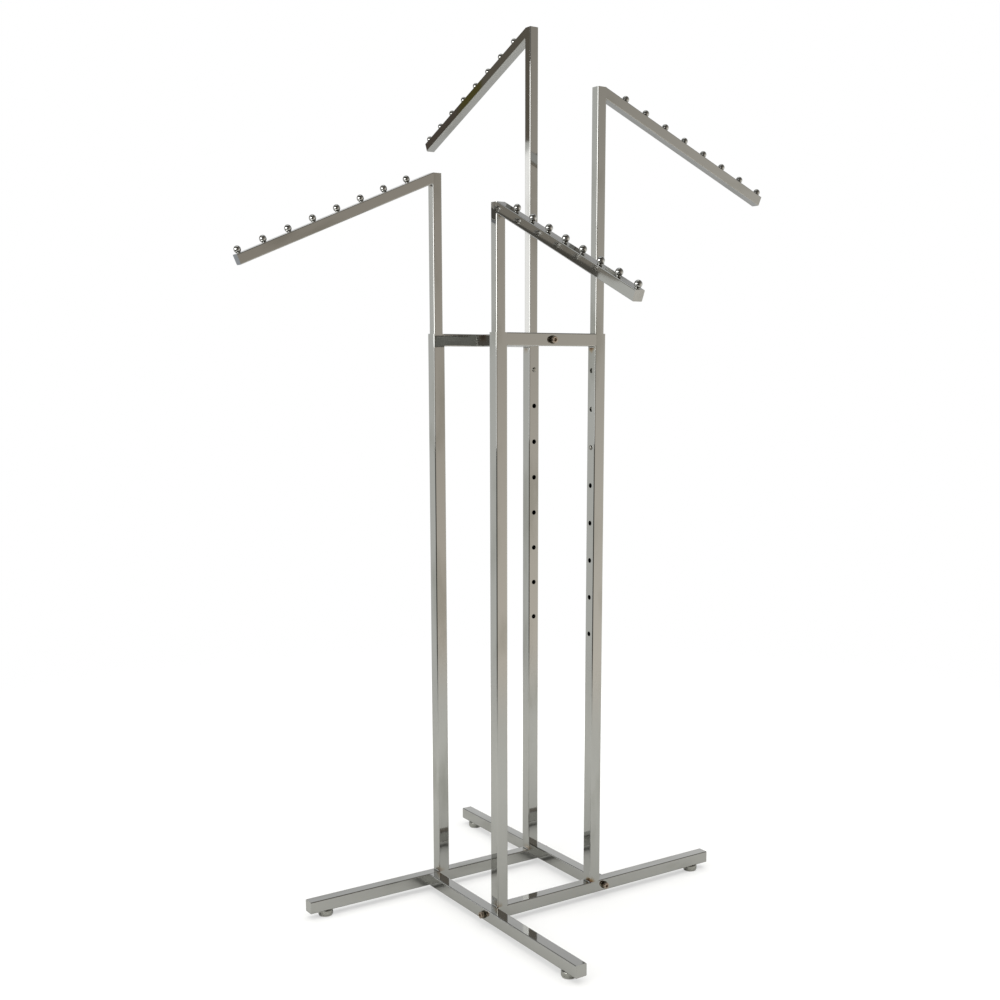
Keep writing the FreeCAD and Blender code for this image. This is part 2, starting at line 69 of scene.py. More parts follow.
class RackFinishSettings(bpy.types.PropertyGroup):
    """Colours and surface sizes of the rack's finishes."""

    chrome_hex: bpy.props.StringProperty(
        name="Chrome", description="sRGB colour of the chrome plate", default="#BDBDBA")
    haze_hex: bpy.props.StringProperty(
        name="Haze", description="sRGB colour of handled, slightly hazed chrome", default="#ADADA8")
    # painted reflection: the straw, brown and blue colours below are coloured reflections painted onto the chrome
    # beside the welds
    straw_reflection_hex: bpy.props.StringProperty(
        name="Straw tint", description="sRGB colour of the light heat tint beside a weld", default="#A08A68")
    brown_reflection_hex: bpy.props.StringProperty(
        name="Brown tint", description="sRGB colour of the strong heat tint at a weld", default="#6B4A34")
    blue_reflection_hex: bpy.props.StringProperty(
        name="Blue heat tint", description="sRGB colour where the steel got hottest", default="#56687C")
    draw_line_mm: bpy.props.FloatProperty(
        name="Draw line spacing", description="Distance between the faint lines that rolling leaves on a tube, mm",
        default=2.5, min=0.2, max=20)
    ripple_mm: bpy.props.FloatProperty(
        name="Ripple", description="Distance between the soft ripples of a polished tube wall, mm",
        default=35.0, min=2, max=200)
    ripple_strength: bpy.props.FloatProperty(
        name="Ripple strength", description="How strongly the ripples bend what the chrome mirrors", default=0.12,
        min=0, max=1)
    haze_mm: bpy.props.FloatProperty(
        name="Haze patch", description="Size of a patch of haze left by handling, mm", default=60.0, min=5, max=300)


class RackPieceSettings(bpy.types.PropertyGroup):
    """Sizes of the pieces that are added to the frame."""

    weld_leg: bpy.props.FloatProperty(
        name="Weld leg", description="Height and width of a fillet weld", default=0.0022, min=0.0005, max=0.006,
        unit="LENGTH")
    collar_leg: bpy.props.FloatProperty(
        name="Ball weld", description="Height and width of the weld round a ball's neck", default=0.0008,
        min=0.0003, max=0.002, unit="LENGTH")
    knurl_depth: bpy.props.FloatProperty(
        name="Knurl depth", description="Depth of the grooves on a cap screw's head", default=0.00022,
        min=0, max=0.0006, unit="LENGTH")
    knurl_count: bpy.props.IntProperty(
        name="Knurl grooves", description="Grooves round a cap screw's head", default=40, min=8, max=80)


class RackStudioSettings(bpy.types.PropertyGroup):
    """The floor, the lights and the camera."""

    floor_hex: bpy.props.StringProperty(
        name="Floor", description="sRGB colour of the floor", default="#A4A4A2")
    floor_reflected_hex: bpy.props.StringProperty(
        name="Floor in reflections", description="sRGB colour of the floor as the chrome shows it",
        default="#C2C2BE")
    floor_lift: bpy.props.FloatProperty(
        name="Floor lift", description="Glow added to the floor where the camera sees it", default=0.52, min=0,
        max=1)
    floor_shade: bpy.props.FloatProperty(
        name="Floor shade", description="How light the floor under the rack stays in the chrome", default=0.8,
        min=0, max=1)
    top_power: bpy.props.FloatProperty(
        name="Top light", description="Power of the large light overhead, W", default=246.0, min=0)
    softbox_power: bpy.props.FloatProperty(
        name="Softbox", description="Power of the softbox beside the camera, W", default=38.0, min=0)
    skirt_power: bpy.props.FloatProperty(
        name="Softbox skirt", description="Power of the dimmer strip under the softbox, W", default=4.0, min=0)
    lens: bpy.props.FloatProperty(
        name="Lens", description="Focal length of the camera, mm", default=48.1, min=10, max=200)
    camera_place: bpy.props.FloatVectorProperty(
        name="Camera", description="Where the camera stands", default=(2.2716, -1.5049, 1.1280),
        subtype="TRANSLATION", unit="LENGTH")
    camera_turn: bpy.props.FloatProperty(
        name="Turn", description="Heading of the camera from +Y towards -X", default=radians(55.52),
        subtype="ANGLE")
    camera_dip: bpy.props.FloatProperty(
        name="Dip", description="How far the camera looks below the horizon", default=radians(9.73),
        subtype="ANGLE")
    camera_roll: bpy.props.FloatProperty(
        name="Roll", description="Turn of the camera about its own line of sight", default=radians(0.17),
        subtype="ANGLE")
    camera_shift: bpy.props.FloatVectorProperty(
        name="Shift", description="Shift of the lens, in widths of the frame", default=(-0.0376, 0.0883), size=2)


# ---- node trees ----

def linear(hex_text):
    """An sRGB hex colour as linear red, green, blue and alpha."""
    channels = [int(hex_text.lstrip("#")[at:at + 2], 16) / 255 for at in (0, 2, 4)]
    return [c / 12.92 if c <= 0.04045 else ((c + 0.055) / 1.055) ** 2.4 for c in channels] + [1.0]


def add(tree, kind, inputs=(), out=0, **settings):
    """Add a node, set its settings, set or link its inputs, and return one of its outputs."""
    node = tree.nodes.new(kind)
    for name, value in settings.items():
        setattr(node, name, value)
    for key, value in dict(inputs).items():
        if isinstance(value, bpy.types.NodeSocket):
            tree.links.new(value, node.inputs[key])
        else:
            node.inputs[key].default_value = value
    return node.outputs[out] if node.outputs else None


def new_material(name):
    """A material with an empty node tree, returned as (material, tree)."""
    material = bpy.data.materials.new(name)
    material.use_nodes = True
    material.node_tree.nodes.clear()
    return material, material.node_tree


def surface(tree, inputs):
    """Give a tree its shader and its output."""
    shader = add(tree, "ShaderNodeBsdfPrincipled", inputs)
    add(tree, "ShaderNodeOutputMaterial", {"Surface": shader})


def tube_place(tree, run, across, lengthwise):
    """Object coordinates turned so that Z lies along a run, in steps of two sizes in metres."""
    place = add(tree, "ShaderNodeTexCoord", out="Object")
    turn = Vector(run).rotation_difference(UP).to_euler()
    turned = add(tree, "ShaderNodeMapping", {"Vector": place, "Rotation": turn})
    scale = (1 / across, 1 / across, 1 / lengthwise)
    return add(tree, "ShaderNodeMapping", {"Vector": turned, "Scale": scale})


# ---- finishes ----

def polished_chrome(name, run=UP, painted_reflections=(), roughness=0.045, waviness=1.0):
    """Bright chrome over polished, roll-formed steel tube. The eye reads a mirror that is faintly
    streaked along the tube and a little hazed where it is handled, with straw, brown and blue painted reflections
    beside welds."""
    look = bpy.context.scene.rack_finish
    material, tree = new_material(name)
    haze_size = look.haze_mm * MM
    haze = add(tree, "ShaderNodeTexNoise", {
        "Vector": tube_place(tree, run, haze_size, 3 * haze_size), "Scale": 1.0, "Detail": 4.0,
    })
    haze = add(tree, "ShaderNodeMapRange", {
        "Value": haze, "From Min": 0.5, "From Max": 0.72,
    }, interpolation_type="SMOOTHSTEP")
    colour = add(tree, "ShaderNodeMix", {
        0: haze, 6: linear(look.chrome_hex), 7: linear(look.haze_hex),
    }, out=2, data_type="RGBA")

    # the straw, brown and blue painted reflections beside welds have ragged edges, about a centimetre across
    for centre, reach, strength in painted_reflections:
        place = add(tree, "ShaderNodeTexCoord", out="Object")
        spot = add(tree, "ShaderNodeVectorMath", {0: place, 1: centre}, out="Value", operation="DISTANCE")
        flare = add(tree, "ShaderNodeTexNoise", {"Vector": place, "Scale": 1 / (11 * MM), "Detail": 3.0})
        ragged = add(tree, "ShaderNodeMath", {0: flare, 1: reach, 2: spot}, operation="MULTIPLY_ADD")
        for hex_text, far, near in (
            (look.straw_reflection_hex, 1.5, 0.85), (look.brown_reflection_hex, 1.1, 0.6), (look.blue_reflection_hex, 0.8, 0.4),
        ):
            share = add(tree, "ShaderNodeMapRange", {
                "Value": ragged, "From Min": far * reach, "From Max": near * reach, "To Max": strength,
            }, interpolation_type="SMOOTHSTEP")
            colour = add(tree, "ShaderNodeMix", {
                0: share, 6: colour, 7: linear(hex_text),
            }, out=2, data_type="RGBA")

    lines = add(tree, "ShaderNodeTexNoise", {
        "Vector": tube_place(tree, run, look.draw_line_mm * MM, 400 * MM), "Scale": 1.0,
    })
    ripple = add(tree, "ShaderNodeTexNoise", {
        "Vector": tube_place(tree, run, look.ripple_mm * MM, 6 * look.ripple_mm * MM), "Scale": 1.0, "Detail": 1.0,
    })
    # the drawing lines are a twentieth as deep as the ripple
    height = add(tree, "ShaderNodeMath", {0: lines, 1: 0.05, 2: ripple}, operation="MULTIPLY_ADD")
    bump = add(tree, "ShaderNodeBump", {
        "Height": height, "Strength": look.ripple_strength, "Distance": 0.12 * MM * waviness,
    })
    gloss = add(tree, "ShaderNodeMapRange", {
        "Value": haze, "To Min": roughness, "To Max": roughness + 0.05,
    })
    surface(tree, {"Base Color": colour, "Metallic": 1.0, "Roughness": gloss, "Normal": bump})
    return material


def worked_metal(name, hex_text, worn_hex, roughness, grain_mm, run=UP):
    """Turned, rolled or blackened steel: a satin metal with fine tool lines and paler worn spots."""
    material, tree = new_material(name)
    grain = add(tree, "ShaderNodeTexNoise", {
        "Vector": tube_place(tree, run, grain_mm * MM, 12 * grain_mm * MM), "Scale": 1.0, "Detail": 3.0,
    })
    place = add(tree, "ShaderNodeTexCoord", out="Object")
    wear = add(tree, "ShaderNodeTexNoise", {"Vector": place, "Scale": 1 / (4 * MM), "Detail": 3.0})
    worn = add(tree, "ShaderNodeMapRange", {
        "Value": wear, "From Min": 0.52, "From Max": 0.75, "To Max": 0.7,
    }, interpolation_type="SMOOTHSTEP")
    colour = add(tree, "ShaderNodeMix", {
        0: worn, 6: linear(hex_text), 7: linear(worn_hex),
    }, out=2, data_type="RGBA")
    bump = add(tree, "ShaderNodeBump", {"Height": grain, "Strength": 0.35, "Distance": 0.08 * MM})
    gloss = add(tree, "ShaderNodeMapRange", {
        "Value": grain, "From Min": 0.3, "From Max": 0.7, "To Min": roughness - 0.06, "To Max": roughness + 0.08,
    })
    surface(tree, {"Base Color": colour, "Metallic": 1.0, "Roughness": gloss, "Normal": bump})
    return material


def moulded_nylon(name, hex_text, scuffed_hex):
    """Injection moulded nylon: dull and faintly pebbled, paler where it has rubbed."""
    material, tree = new_material(name)
    place = add(tree, "ShaderNodeTexCoord", out="Object")
    pebble = add(tree, "ShaderNodeTexNoise", {"Vector": place, "Scale": 1 / (0.8 * MM), "Detail": 2.0})
    scuff = add(tree, "ShaderNodeTexNoise", {"Vector": place, "Scale": 1 / (7 * MM), "Detail": 4.0})
    scuffed = add(tree, "ShaderNodeMapRange", {
        "Value": scuff, "From Min": 0.5, "From Max": 0.7, "To Max": 0.8,
    }, interpolation_type="SMOOTHSTEP")
    colour = add(tree, "ShaderNodeMix", {
        0: scuffed, 6: linear(hex_text), 7: linear(scuffed_hex),
    }, out=2, data_type="RGBA")
    bump = add(tree, "ShaderNodeBump", {"Height": pebble, "Strength": 0.3, "Distance": 0.05 * MM})
    gloss = add(tree, "ShaderNodeMapRange", {
        "Value": scuff, "From Min": 0.3, "From Max": 0.7, "To Min": 0.42, "To Max": 0.6,
    })
    surface(tree, {"Base Color": colour, "Roughness": gloss, "IOR": 1.53, "Normal": bump})
    return material


# ---- mesh helpers ----

def islands(node):
    """The lowest and highest corner of each separate solid of a CAD node."""
    mesh = bmesh.new()
    mesh.from_mesh(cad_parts[node].data)
    bmesh.ops.remove_doubles(mesh, verts=mesh.verts, dist=1e-6)
    waiting = set(mesh.verts)
    boxes = []
    while waiting:
        front = [waiting.pop()]
        found = list(front)
        while front:
            vert = front.pop()
            linked = [edge.other_vert(vert) for edge in vert.link_edges]
            fresh = [each for each in linked if each in waiting]
            waiting.difference_update(fresh)
            front += fresh
            found += fresh
        lows = Vector([min(vert.co[axis] for vert in found) for axis in range(3)])
        highs = Vector([max(vert.co[axis] for vert in found) for axis in range(3)])
        boxes.append((lows, highs))
    mesh.free()
    return sorted(boxes, key=lambda box: tuple(round(value, 5) for value in box[0]))


def new_piece(name, mesh, material, body):
    """An object made from a bmesh, smooth shaded, that rides on a body."""
    data = bpy.data.meshes.new(name)
    bmesh.ops.recalc_face_normals(mesh, faces=mesh.faces)
    mesh.to_mesh(data)
    mesh.free()
    data.shade_smooth()
    data.set_sharp_from_angle(angle=radians(38))
    piece = bpy.data.objects.new(name, data)
    bpy.context.scene.collection.objects.link(piece)
    data.materials.append(material)
    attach(piece, body)
    return piece


def strip_between(mesh, sections, closed=False):
    """Faces between rows of points, each row a section of the strip."""
    rows = [[mesh.verts.new(point) for point in section] for section in sections]
    pairs = list(zip(rows, rows[1:])) + ([(rows[-1], rows[0])] if closed else [])
    for first, second in pairs:
        for at in range(len(first)):
            following = (at + 1) % len(first)
            mesh.faces.new((first[at], first[following], second[following], second[at]))
    return rows


def weld_section(corner, out, up, leg):
    """A fillet weld's section: its root in the corner, and a slightly hollow face from out to up."""
    hollow = 5
    points = [corner]
    for step in range(hollow + 1):
        turn = pi / 2 * step / hollow
        sag = 0.88
        points.append(corner + out * leg * (1 - sag * sin(turn)) / 1.0 + up * leg * (1 - sag * cos(turn)))
    return points


def lay_weld(mesh, start, end, out, up, leg):
    """A straight fillet weld, with the small waves of its passes, tapered at its ends."""
    length = (end - start).length
    steps = max(6, round(length / (0.9 * MM)))
    sections = []
    for step in range(steps + 1):
        share = step / steps
        taper = min(1.0, 6 * min(share, 1 - share) + 0.35)
        wave = 1 + 0.07 * sin(tau * share * length / (2.6 * MM))
        sections.append(weld_section(start.lerp(end, share), out, up, leg * taper * wave))
    rows = strip_between(mesh, sections)
    mesh.faces.new(rows[0])
    mesh.faces.new(reversed(rows[-1]))


def fill_flush(mesh, start, end, along_face, into_tube, radius):
    """A weld ground flush: it fills the hollow that a tube's rounded edge leaves beside a butted tube."""
    arc = 6
    sections = []
    for corner in (start, end):
        centre = corner + (along_face + into_tube) * radius
        points = [corner]
        for step in range(arc + 1):
            turn = pi / 2 * step / arc
            points.append(centre - into_tube * radius * cos(turn) - along_face * radius * sin(turn))
        sections.append(points)
    rows = strip_between(mesh, sections)
    mesh.faces.new(rows[0])
    mesh.faces.new(reversed(rows[-1]))


# ---- finishes on the frame ----

def give(nodes, material):
    for node in nodes:
        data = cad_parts[node].data
        data.materials.clear()
        data.materials.append(material)


def arm_run(side):
    """The direction of an arm's slanted tube, from its stem to its end."""
    slope = radians(23)
    return OUTWARD[side] * cos(slope) - UP * sin(slope)


class RACK_OT_finish_frame(bpy.types.Operator):
    """Chrome the uprights, rails and base bars, with painted reflections in straw, brown and blue beside their welds
    """

    bl_idname = "rack.finish_frame"
    bl_label = "Frame chrome"

    def execute(self, context):
        bar_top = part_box("base_bar_left")[1].z
        rail_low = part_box("top_rail_front")[0].z
        for side in SIDES:
            low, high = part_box(f"upright_{side}")
            middle = (low + high) / 2
            foot = Vector((high.x - 4 * MM, low.y, bar_top))
            # painted reflection: straw, brown and blue patches at each upright's foot and under the rail ends,
            # strongest on the right upright
            strong = 1.0 if side == "right" else 0.45
            inside = Vector((middle.x, low.y if middle.y > 0 else high.y, rail_low - 2 * MM))
            painted_reflections = ((foot, 16 * MM, strong), (inside, 13 * MM, 0.8 * strong))
            give([f"upright_{side}"], polished_chrome(f"chrome_upright_{side}", UP, painted_reflections))
            bar_run = OUTWARD[side]
            give([f"base_bar_{side}"], polished_chrome(f"chrome_bar_{side}", bar_run))
        for side in ("front", "back"):
            give([f"top_rail_{side}"], polished_chrome(f"chrome_rail_{side}", Vector((0, 1, 0))))
        low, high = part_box("top_crossbar")
        ends = [Vector((x, low.y, high.z)) for x in (low.x, high.x)]
        # painted reflection: straw, brown and blue patches at both ends of the crossbar
        painted_reflections = [(end, 24 * MM, 0.5) for end in ends]
        # the short bar was heated through when it was welded, so its walls are wavy
        give(["top_crossbar"], polished_chrome("chrome_crossbar", Vector((1, 0, 0)), painted_reflections, waviness=12.0))
        give(["leg_end_plates"], polished_chrome("chrome_end_plates", UP, roughness=0.07))
        return {"FINISHED"}


class RACK_OT_finish_arms(bpy.types.Operator):
    """Chrome the stems, slanted tubes, balls and plates of the four arms"""

    bl_idname = "rack.finish_arms"
    bl_label = "Arm chrome"

    def execute(self, context):
        ball_chrome = polished_chrome("chrome_balls", UP, roughness=0.03)
        for side in SIDES:
            low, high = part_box(f"arm_stem_{side}")
            middle = (low + high) / 2
            corner = Vector((middle.x, middle.y, high.z - 22 * MM)) + OUTWARD[side] * (high.x - low.x) / 2
            # painted reflection: a straw, brown and blue patch where the slanted tube meets the stem
            painted_reflection = ((corner, 10 * MM, 0.5),)
            give([f"arm_stem_{side}"], polished_chrome(f"chrome_stem_{side}", UP, painted_reflection))
            give([f"arm_tube_{side}"], polished_chrome(f"chrome_arm_{side}", arm_run(side), painted_reflection))
            give([f"arm_plates_{side}"], polished_chrome(f"chrome_arm_ends_{side}", UP, roughness=0.07))
            give([f"arm_balls_{side}"], ball_chrome)
        return {"FINISHED"}


class RACK_OT_finish_hardware(bpy.types.Operator):
    """Finish the washers, glides, snap buttons, springs and sleeves"""

    bl_idname = "rack.finish_hardware"
    bl_label = "Hardware finishes"

    def execute(self, context):
        give(["washers"], worked_metal("blackened_steel_washer", "#5A584C", "#8C887C", 0.3, 0.5))
        machined = worked_metal("machined_steel", "#8E8D8A", "#A5A4A0", 0.34, 0.4)
        give(["tapped_plugs", "glide_nuts"] + [f"glide_stud_{side}" for side in SIDES], machined)
        cup = worked_metal("turned_zinc_plated_cup", "#B4B4AE", "#C6C6C0", 0.26, 0.6, Vector((1, 0, 0)))
        give([f"glide_cup_{side}" for side in SIDES], cup)
        sole = moulded_nylon("moulded_nylon_sole", "#C9C9C4", "#B2B1AA")
        give([f"glide_sole_{side}" for side in SIDES], sole)
        # dark nylon sleeve; its dark colour also paints the shade of the narrow gap between each upright and its
        # stem
        give(["guide_sleeves"], moulded_nylon("moulded_nylon_guide_and_gap_shade", "#3A3A38", "#4C4B48"))
        button = worked_metal("nickel_plated_button", "#A9A7A0", "#C2C0B8", 0.16, 0.8)
        give([f"snap_button_{side}" for side in SIDES], button)
        spring = worked_metal("blued_spring_steel", "#3D4148", "#5B5E62", 0.3, 0.5)
        give([f"spring_clip_{side}" for side in SIDES], spring)
        return {"FINISHED"}


# ---- pieces added to the frame ----

class RACK_OT_frame_welds(bpy.types.Operator):
    """Lay the fillet welds at the uprights' feet and under the ends of the top rails"""

    bl_idname = "rack.frame_welds"
    bl_label = "Frame welds"

    def execute(self, context):
        leg = context.scene.rack_pieces.weld_leg
        inset, radius = 2.4 * MM, 2.0 * MM
        chrome = polished_chrome("chrome_frame_welds", Vector((1, 0, 0)), roughness=0.08)
        mesh = bmesh.new()
        for side in SIDES:
            low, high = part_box(f"upright_{side}")
            for face, out in ((low.y, Vector((0, -1, 0))), (high.y, Vector((0, 1, 0)))):
                start = Vector((low.x + inset, face, low.z))
                end = Vector((high.x - inset, face, low.z))
                lay_weld(mesh, start, end, out, UP, leg)
            for face, into in ((low.x, Vector((1, 0, 0))), (high.x, Vector((-1, 0, 0)))):
                start = Vector((face, low.y + inset, low.z))
                end = Vector((face, high.y - inset, low.z))
                fill_flush(mesh, start, end, -UP, into, radius)
        for side in ("front", "back"):
            low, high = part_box(f"top_rail_{side}")
            for face, out in ((low.y, Vector((0, 1, 0))), (high.y, Vector((0, -1, 0)))):
                start = Vector((low.x + inset, face, low.z))
                end = Vector((high.x - inset, face, low.z))
                lay_weld(mesh, start, end, out, -UP, leg)
                for edge, into in ((low.x, Vector((1, 0, 0))), (high.x, Vector((-1, 0, 0)))):
                    start = Vector((edge, face, low.z + radius))
                    end = Vector((edge, face, high.z - radius))
                    fill_flush(mesh, start, end, -out, into, radius)
        new_piece("frame_welds", mesh, chrome, "frame")
        return {"FINISHED"}


class RACK_OT_arm_welds(bpy.types.Operator):
    """Lay the weld under each slanted tube and the collar round each ball's neck"""

    bl_idname = "rack.arm_welds"
    bl_label = "Arm welds"

    def execute(self, context):
        pieces = context.scene.rack_pieces
        chrome = polished_chrome("chrome_arm_welds", Vector((1, 0, 0)), roughness=0.08)
        slope = radians(23)
        around, radius = 28, 1.8 * MM
        for side in SIDES:
            mesh = bmesh.new()
            low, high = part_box(f"arm_stem_{side}")
            tube_low, tube_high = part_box(f"arm_tube_{side}")
            out = OUTWARD[side]
            across = UP.cross(out)
            middle = (low + high) / 2
            half = (high.x - low.x) / 2
            drop = 2 * half / cos(slope)
            corner = Vector((middle.x, middle.y, high.z - drop)) + out * half
            inset = across * (half - 2.2 * MM)
            lay_weld(mesh, corner - inset, corner + inset, arm_run(side), -UP, 0.8 * pieces.weld_leg)
            for into in (across, -across):
                start = corner - into * half
                end = start + UP * (drop - radius)
                fill_flush(mesh, start, end, -out, into, radius)

            lift = out * sin(slope) + UP * cos(slope)
            neck, foot = 4 * MM, 6.6 * MM
            for ball_low, ball_high in islands(f"arm_balls_{side}"):
                # the ball touches its box above and at its sides; its centre is one radius in from them
                ball_radius = (ball_high - ball_low).dot(Vector([abs(value) for value in across])) / 2
                centre = (ball_low + ball_high) / 2
                centre.z = ball_high.z - ball_radius
                outermost = (ball_high if out.x + out.y > 0 else ball_low)
                centre = centre - out * centre.dot(out) + out * (outermost.dot(out) - ball_radius)
                base = centre - lift * foot
                sections = []
                for step in range(around):
                    turn = tau * step / around
                    radial = across * cos(turn) + arm_run(side) * sin(turn)
                    sections.append(weld_section(base + radial * neck, radial, lift, pieces.collar_leg))
                strip_between(mesh, sections, closed=True)
            new_piece(f"arm_welds_{side}", mesh, chrome, f"arm_{side}")
        return {"FINISHED"}


def knurled_screw(mesh, head_top, inward, head_radius, head_tall, length, look):
    """A socket head cap screw with a knurled head. head_top is the centre of the head's flat end."""
    aside = inward.orthogonal().normalized()
    up = inward.cross(aside)
    steps = look.knurl_count * 4
    bevel = 0.8 * MM
    socket_radius, socket_deep = 3 * MM, 4 * MM
    shank = 4 * MM

    def ring(radius, depth, knurl=0.0, corners=0):
        points = []
        for step in range(steps):
            turn = tau * step / steps
            reach = radius
            if knurl:
                reach -= knurl * (0.5 - 0.5 * cos(look.knurl_count * turn))
            if corners:
                wedge = (turn + pi / corners) % (tau / corners) - pi / corners
                reach = radius / cos(wedge)
            points.append(head_top + inward * depth + aside * reach * cos(turn) + up * reach * sin(turn))
        return points

    rings = [
        ring(0.02 * MM, socket_deep + 0.8 * MM),
        ring(socket_radius * 0.8, socket_deep),
        ring(socket_radius, socket_deep, corners=6),
        ring(socket_radius, 0.35 * MM, corners=6),
        ring(socket_radius + 0.75 * MM, 0.0),
        ring(head_radius - bevel - 0.1 * MM, 0.0),
        ring(head_radius - 0.25 * MM, 0.55 * bevel),
        ring(head_radius - look.knurl_depth, bevel),
        ring(head_radius, bevel + 0.25 * MM, knurl=look.knurl_depth),
        ring(head_radius, head_tall - 1.6 * MM, knurl=look.knurl_depth),
        ring(head_radius - look.knurl_depth, head_tall - 1.3 * MM),
        ring(head_radius - look.knurl_depth, head_tall),
        ring(shank, head_tall),
        ring(shank, head_tall + length),
    ]
    rows = strip_between(mesh, rings)
    mesh.faces.new(rows[-1])
    mesh.faces.new(reversed(rows[0]))


class RACK_OT_cap_screws(bpy.types.Operator):
    """Make the six socket head cap screws with knurled heads"""

    bl_idname = "rack.cap_screws"
    bl_label = "Cap screws"

    def execute(self, context):
        look = context.scene.rack_pieces
        mesh = bmesh.new()
        head_tall = 8 * MM
        for low, high in islands("cap_screws"):
            size = high - low
            axis = max(range(3), key=lambda at: size[at])
            middle = (low + high) / 2
            # a head stands out of the rack, so it is the end further from the axis, or off the bar's end
            end_low, end_high = middle.copy(), middle.copy()
            end_low[axis], end_high[axis] = low[axis], high[axis]
            head_top = end_high if screw_head_is_high(low, high, axis) else end_low
            inward = (middle - head_top).normalized()
            other = (axis + 1) % 3
            knurled_screw(mesh, head_top, inward, size[other] / 2, head_tall, size[axis] - head_tall, look)
        material = worked_metal("nickel_plated_cap_screw", "#B3A596", "#CFC3B4", 0.2, 0.5)
        screws = new_piece("knurled_cap_screws", mesh, material, "frame")
        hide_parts("cap_screws")
        return {"FINISHED"}


def screw_head_is_high(low, high, axis):
    """True if a screw's head is at its high end, where the CAD solid is widest."""
    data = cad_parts["cap_screws"].data
    inside = [v.co for v in data.vertices if all(low[k] - 1e-5 < v.co[k] < high[k] + 1e-5 for k in range(3))]
    other = (axis + 1) % 3
    widest = max(inside, key=lambda co: co[other])
    return widest[axis] > (low[axis] + high[axis]) / 2


# ---- studio ----

def reflected_only(obj):
    """Show an object in reflections and nowhere else."""
    obj.visible_camera = False
    obj.visible_diffuse = False
    obj.visible_shadow = False
    obj.visible_transmission = False
    obj.visible_volume_scatter = False


def make_card(name, corners, hex_text, strength):
    """A flat studio card that only the chrome sees."""
    mesh = bmesh.new()
    mesh.faces.new([mesh.verts.new(corner) for corner in corners])
    data = bpy.data.meshes.new(name)
    mesh.to_mesh(data)
    mesh.free()
    card = bpy.data.objects.new(name, data)
    bpy.context.scene.collection.objects.link(card)
    material, tree = new_material(name)
    glow = add(tree, "ShaderNodeEmission", {"Color": linear(hex_text), "Strength": strength})
    add(tree, "ShaderNodeOutputMaterial", {"Surface": glow})
    data.materials.append(material)
    reflected_only(card)


def make_light(name, place, target, width, tall, power):
    """A rectangular area light aimed at a point."""
    data = bpy.data.lights.new(name, "AREA")
    data.shape = "RECTANGLE"
    data.size, data.size_y = width, tall
    data.energy = power
    light = bpy.data.objects.new(name, data)
    light.location = place
    light.rotation_euler = (Vector(target) - Vector(place)).to_track_quat("-Z", "Y").to_euler()
    light.visible_camera = False
    bpy.context.scene.collection.objects.link(light)
    return light


